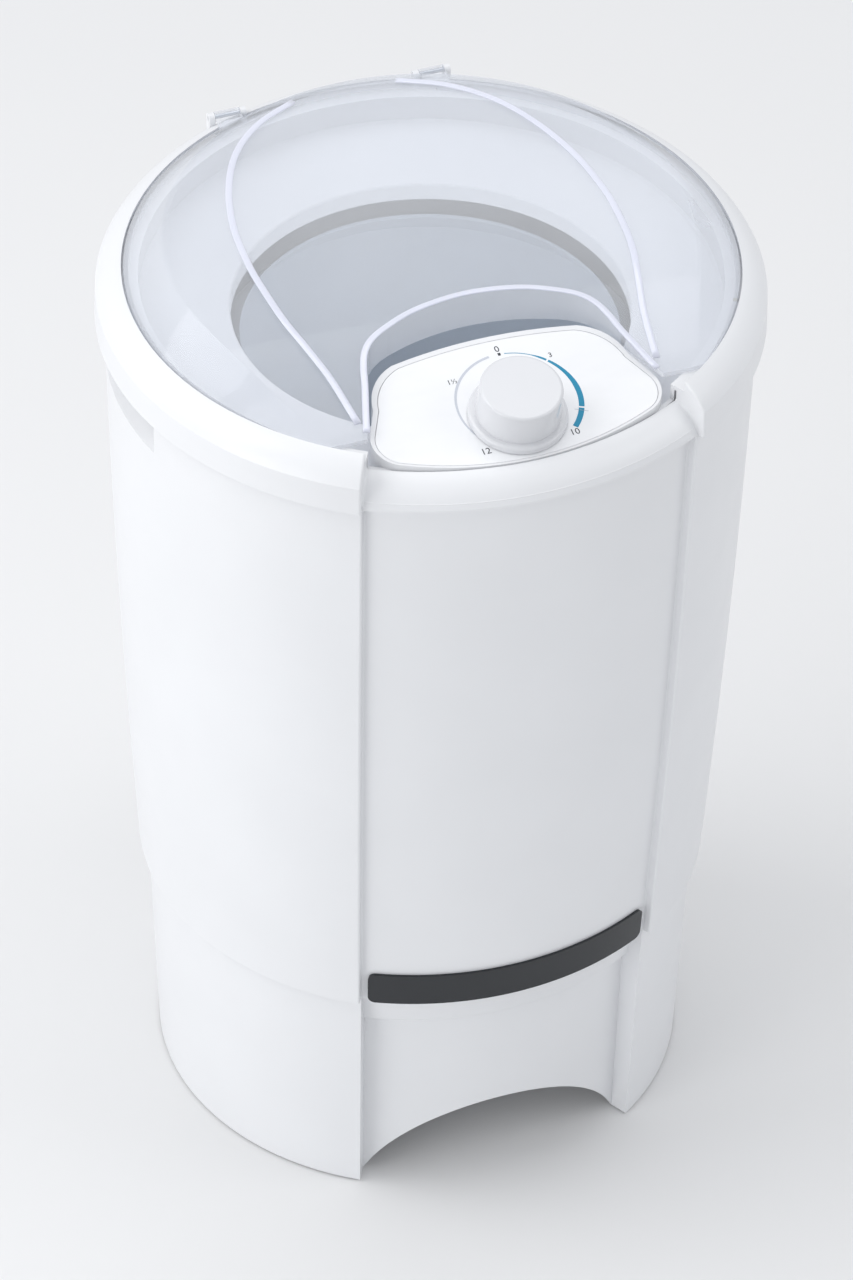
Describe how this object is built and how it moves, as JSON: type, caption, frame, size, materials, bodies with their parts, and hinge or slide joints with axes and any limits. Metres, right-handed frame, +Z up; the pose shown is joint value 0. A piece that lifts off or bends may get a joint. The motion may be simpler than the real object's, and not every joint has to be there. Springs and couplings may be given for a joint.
{
  "type": "laundry spin dryer",
  "caption": "Round top-loading spin dryer with a clear hinged lid, a timer dial, a perforated drum on a vertical motor and an arched stand.",
  "frame": {"origin": "on the floor under the drum's axis", "axes": "+Z up along the drum's axis, -Y towards the timer dial, +X to the right of someone facing the dial"},
  "size_m": [0.436, 0.4275, 0.6806],
  "materials": {
    "white_moulding": "injection moulded, semi-gloss",
    "panel_face": "printed satin",
    "knob_plastic": "moulded, gloss",
    "clear_lid": "clear moulded plastic",
    "dark_trim": "moulded, satin",
    "rubber": "moulded",
    "grey_seal": "moulded",
    "tub_plastic": "moulded",
    "drum_steel": "drawn sheet",
    "steel": "turned",
    "plated_steel": "zinc plated",
    "cast_aluminium": "die cast",
    "motor_paint": "painted",
    "core_steel": "laminated",
    "black_plastic": "moulded",
    "beige_plastic": "moulded"
  },
  "bodies": {
    "frame": {"base_stand": "white_moulding", "rubber_feet": "rubber", "cabinet_shell": "white_moulding", "trim_strip": "dark_trim", "top_cover": "white_moulding", "control_panel": "panel_face", "timer_body": "beige_plastic", "hinge_pins": "steel", "outer_tub": "tub_plastic", "tub_gasket": "grey_seal", "support_plate": "plated_steel", "suspension_mounts": "rubber", "bearing_housing": "cast_aluminium", "upper_bearing": "steel", "middle_bearing": "steel", "lower_bearing": "steel", "motor_housing": "motor_paint", "upper_end_bell": "cast_aluminium", "lower_end_bell": "cast_aluminium", "stator": "core_steel", "motor_bolts": "plated_steel", "brake_pivot": "plated_steel", "run_capacitor": "beige_plastic", "capacitor_clamp": "plated_steel", "terminal_block": "beige_plastic", "cord_gland": "black_plastic", "drain_hose": "rubber", "drain_spout": "black_plastic", "lid_switch": "black_plastic"},
    "lid": {"lid": "clear_lid"},
    "timer": {"timer_knob": "knob_plastic", "timer_shaft": "steel"},
    "drum": {"drum_basket": "drum_steel", "drum_screws": "steel", "drum_hub": "cast_aluminium", "hub_cap": "tub_plastic", "drive_shaft": "steel", "shaft_nut": "steel", "rotor": "core_steel", "cooling_fan": "black_plastic", "brake_drum": "core_steel"},
    "brake": {"brake_lever": "plated_steel", "brake_shoe": "rubber"},
    "plunger": {"switch_plunger": "beige_plastic"}
  },
  "joints": [
    {"name": "lid_hinge", "type": "hinge", "parent": "frame", "child": "lid", "pos_m": [0, 0.194, 0.6576], "axis": [-1, 0, 0], "range_deg": [0, 100]},
    {"name": "timer_turn", "type": "hinge", "parent": "frame", "child": "timer", "pos_m": [0, -0.1545, 0.64755], "axis": [0, 0.208, -0.9781], "range_deg": [0, 300]},
    {"name": "drum_spin", "type": "hinge", "parent": "frame", "child": "drum", "pos_m": [0, 0, 0.3], "axis": [0, 0, 1], "continuous": true},
    {"name": "brake_swing", "type": "hinge", "parent": "frame", "child": "brake", "pos_m": [0.0525, -0.046, 0.1925], "axis": [0, 0, 1], "range_deg": [0, 2]},
    {"name": "plunger_slide", "type": "slide", "parent": "frame", "child": "plunger", "axis": [0, 0, 1], "range_m": [0, 0.0025]}
  ],
  "couplings": [
    {"joint": "brake_swing", "follows": "lid_hinge", "ratio": 0.01998},
    {"joint": "plunger_slide", "follows": "lid_hinge", "m_per_rad": 0.001431}
  ]
}
